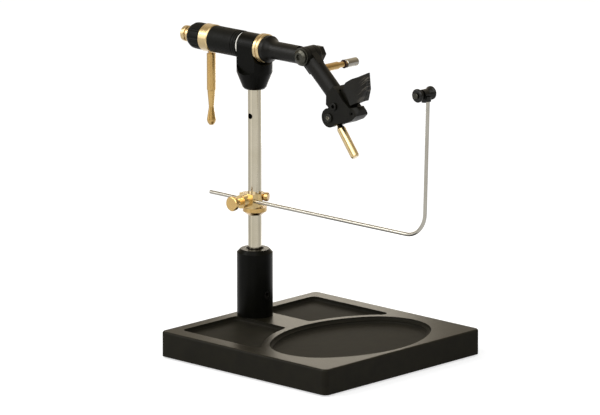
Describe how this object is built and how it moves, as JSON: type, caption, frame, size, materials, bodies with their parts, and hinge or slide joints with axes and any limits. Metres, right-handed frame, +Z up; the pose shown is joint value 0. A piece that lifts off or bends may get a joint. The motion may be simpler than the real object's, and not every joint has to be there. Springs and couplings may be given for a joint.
{
  "type": "rotary fly tying vise",
  "caption": "Rotary fly tying vise with cam-closed jaws on an angled arm, a crank, a bent-wire bobbin cradle and a square tray base.",
  "frame": {"origin": "centre of the base plan on the table, at the underside of the rubber sheet", "axes": "+X along the rotary axis towards the jaws, +Z up the stem, +Y to the side of the material clip"},
  "size_m": [0.2398, 0.1588, 0.2227],
  "materials": {
    "cast_black": "fine wrinkled black stove enamel on a casting",
    "black_coat": "satin black powder coat",
    "black_steel": "blackened tool steel, faintly oiled",
    "brass": "turned and polished brass",
    "stainless": "centreless ground stainless steel",
    "screw_black": "black oxide screws",
    "plain_steel": "plain machined steel",
    "bronze": "sintered bronze, oiled",
    "nylon": "white nylon",
    "rubber": "matt black rubber",
    "o_ring": "dark red-brown nitrile",
    "black_plastic": "black acetal, half gloss"
  },
  "bodies": {
    "base": {"base_tray": "cast_black", "base_pad": "rubber", "base_bolt": "screw_black", "socket_post": "black_coat", "post_set_screw": "screw_black", "stem": "stainless"},
    "collar": {"stop_collar": "brass", "collar_set_screw": "screw_black"},
    "clamp": {"clamp_body": "brass", "clamp_lock_screw": "brass"},
    "thumb_screw": {"clamp_thumb_screw": "brass"},
    "wire": {"cradle_wire": "stainless", "cradle_hub": "black_plastic", "cradle_axle": "plain_steel"},
    "near_roller": {"roller_near": "black_plastic"},
    "far_roller": {"roller_far": "black_plastic"},
    "head": {"yoke": "black_coat", "yoke_set_screw": "screw_black", "yoke_bushes": "bronze", "nylon_washer": "nylon", "front_ring": "brass"},
    "rotor": {"spindle": "plain_steel", "rear_sleeve": "black_coat", "sleeve_set_screw": "screw_black", "crank_ring": "brass", "crank_handle": "brass", "drag_springs": "plain_steel", "nose_shaft": "black_coat", "knuckle_screw": "plain_steel", "knuckle_washers": "plain_steel", "knuckle_nut": "plain_steel"},
    "drag": {"drag_cap": "black_coat"},
    "lock_knob": {"drag_knob": "brass"},
    "arm_unit": {"arm": "black_coat", "clip_post": "brass", "clip_o_ring": "o_ring", "clip_sleeve": "stainless", "jaw_frame": "black_steel", "frame_screws": "plain_steel", "fulcrum_pin": "plain_steel", "adjust_screw": "plain_steel", "cam_screw": "plain_steel"},
    "near_jaw": {"jaw_near": "black_steel"},
    "far_jaw": {"jaw_far": "black_steel"},
    "rod": {"push_rod": "plain_steel"},
    "cam_unit": {"cam": "plain_steel", "cam_lever": "brass"}
  },
  "joints": [
    {"name": "collar_height", "type": "slide", "parent": "base", "child": "collar", "axis": [0, 0, 1], "range_m": [-0.02, 0.05]},
    {"name": "clamp_swivel", "type": "hinge", "parent": "collar", "child": "clamp", "pos_m": [-0.0635, 0, 0.1049], "axis": [0, 0, 1], "range_deg": [-170, 170]},
    {"name": "thumb_screw_turn", "type": "hinge", "parent": "clamp", "child": "thumb_screw", "pos_m": [-0.0635, -0.0225, 0.1031], "axis": [0, 1, 0], "range_deg": [-180, 180]},
    {"name": "wire_reach", "type": "slide", "parent": "clamp", "child": "wire", "axis": [1, 0, 0], "range_m": [-0.03, 0.028]},
    {"name": "near_roller_spin", "type": "hinge", "parent": "wire", "child": "near_roller", "pos_m": [0.10272, -0.0065, 0.2036], "axis": [0, 1, 0], "continuous": true},
    {"name": "far_roller_spin", "type": "hinge", "parent": "wire", "child": "far_roller", "pos_m": [0.10272, -0.0065, 0.2036], "axis": [0, 1, 0], "continuous": true},
    {"name": "head_swivel", "type": "hinge", "parent": "base", "child": "head", "pos_m": [-0.0635, 0, 0.19], "axis": [0, 0, 1], "range_deg": [-170, 170]},
    {"name": "rotary_turn", "type": "hinge", "parent": "head", "child": "rotor", "pos_m": [-0.0635, 0, 0.2124], "axis": [1, 0, 0], "continuous": true},
    {"name": "drag_turn", "type": "hinge", "parent": "rotor", "child": "drag", "pos_m": [-0.116, 0, 0.2124], "axis": [1, 0, 0], "range_deg": [-120, 120]},
    {"name": "lock_knob_turn", "type": "hinge", "parent": "rotor", "child": "lock_knob", "pos_m": [-0.1285, 0, 0.2124], "axis": [1, 0, 0], "range_deg": [-180, 180]},
    {"name": "arm_angle", "type": "hinge", "parent": "rotor", "child": "arm_unit", "pos_m": [-0.0119, 0, 0.2132], "axis": [0, 1, 0], "range_deg": [-30, 25]},
    {"name": "cam_lever_turn", "type": "hinge", "parent": "arm_unit", "child": "cam_unit", "pos_m": [0.0136, 0, 0.1737], "axis": [0, 1, 0], "range_deg": [0, 100]},
    {"name": "push_rod_slide", "type": "slide", "parent": "arm_unit", "child": "rod", "axis": [0.7193, 0, 0.6947], "range_m": [-0.0007, 0]},
    {"name": "near_jaw_open", "type": "hinge", "parent": "arm_unit", "child": "near_jaw", "pos_m": [0.02403, 0, 0.18377], "axis": [-0.6947, 0, 0.7193], "range_deg": [-2.6, 0]},
    {"name": "far_jaw_open", "type": "hinge", "parent": "arm_unit", "child": "far_jaw", "pos_m": [0.02403, 0, 0.18377], "axis": [-0.6947, 0, 0.7193], "range_deg": [0, 2.6]}
  ],
  "couplings": [
    {"joint": "push_rod_slide", "follows": "cam_lever_turn", "m_per_rad": -0.00037},
    {"joint": "near_jaw_open", "follows": "cam_lever_turn", "ratio": -0.025},
    {"joint": "far_jaw_open", "follows": "cam_lever_turn", "ratio": 0.025}
  ]
}
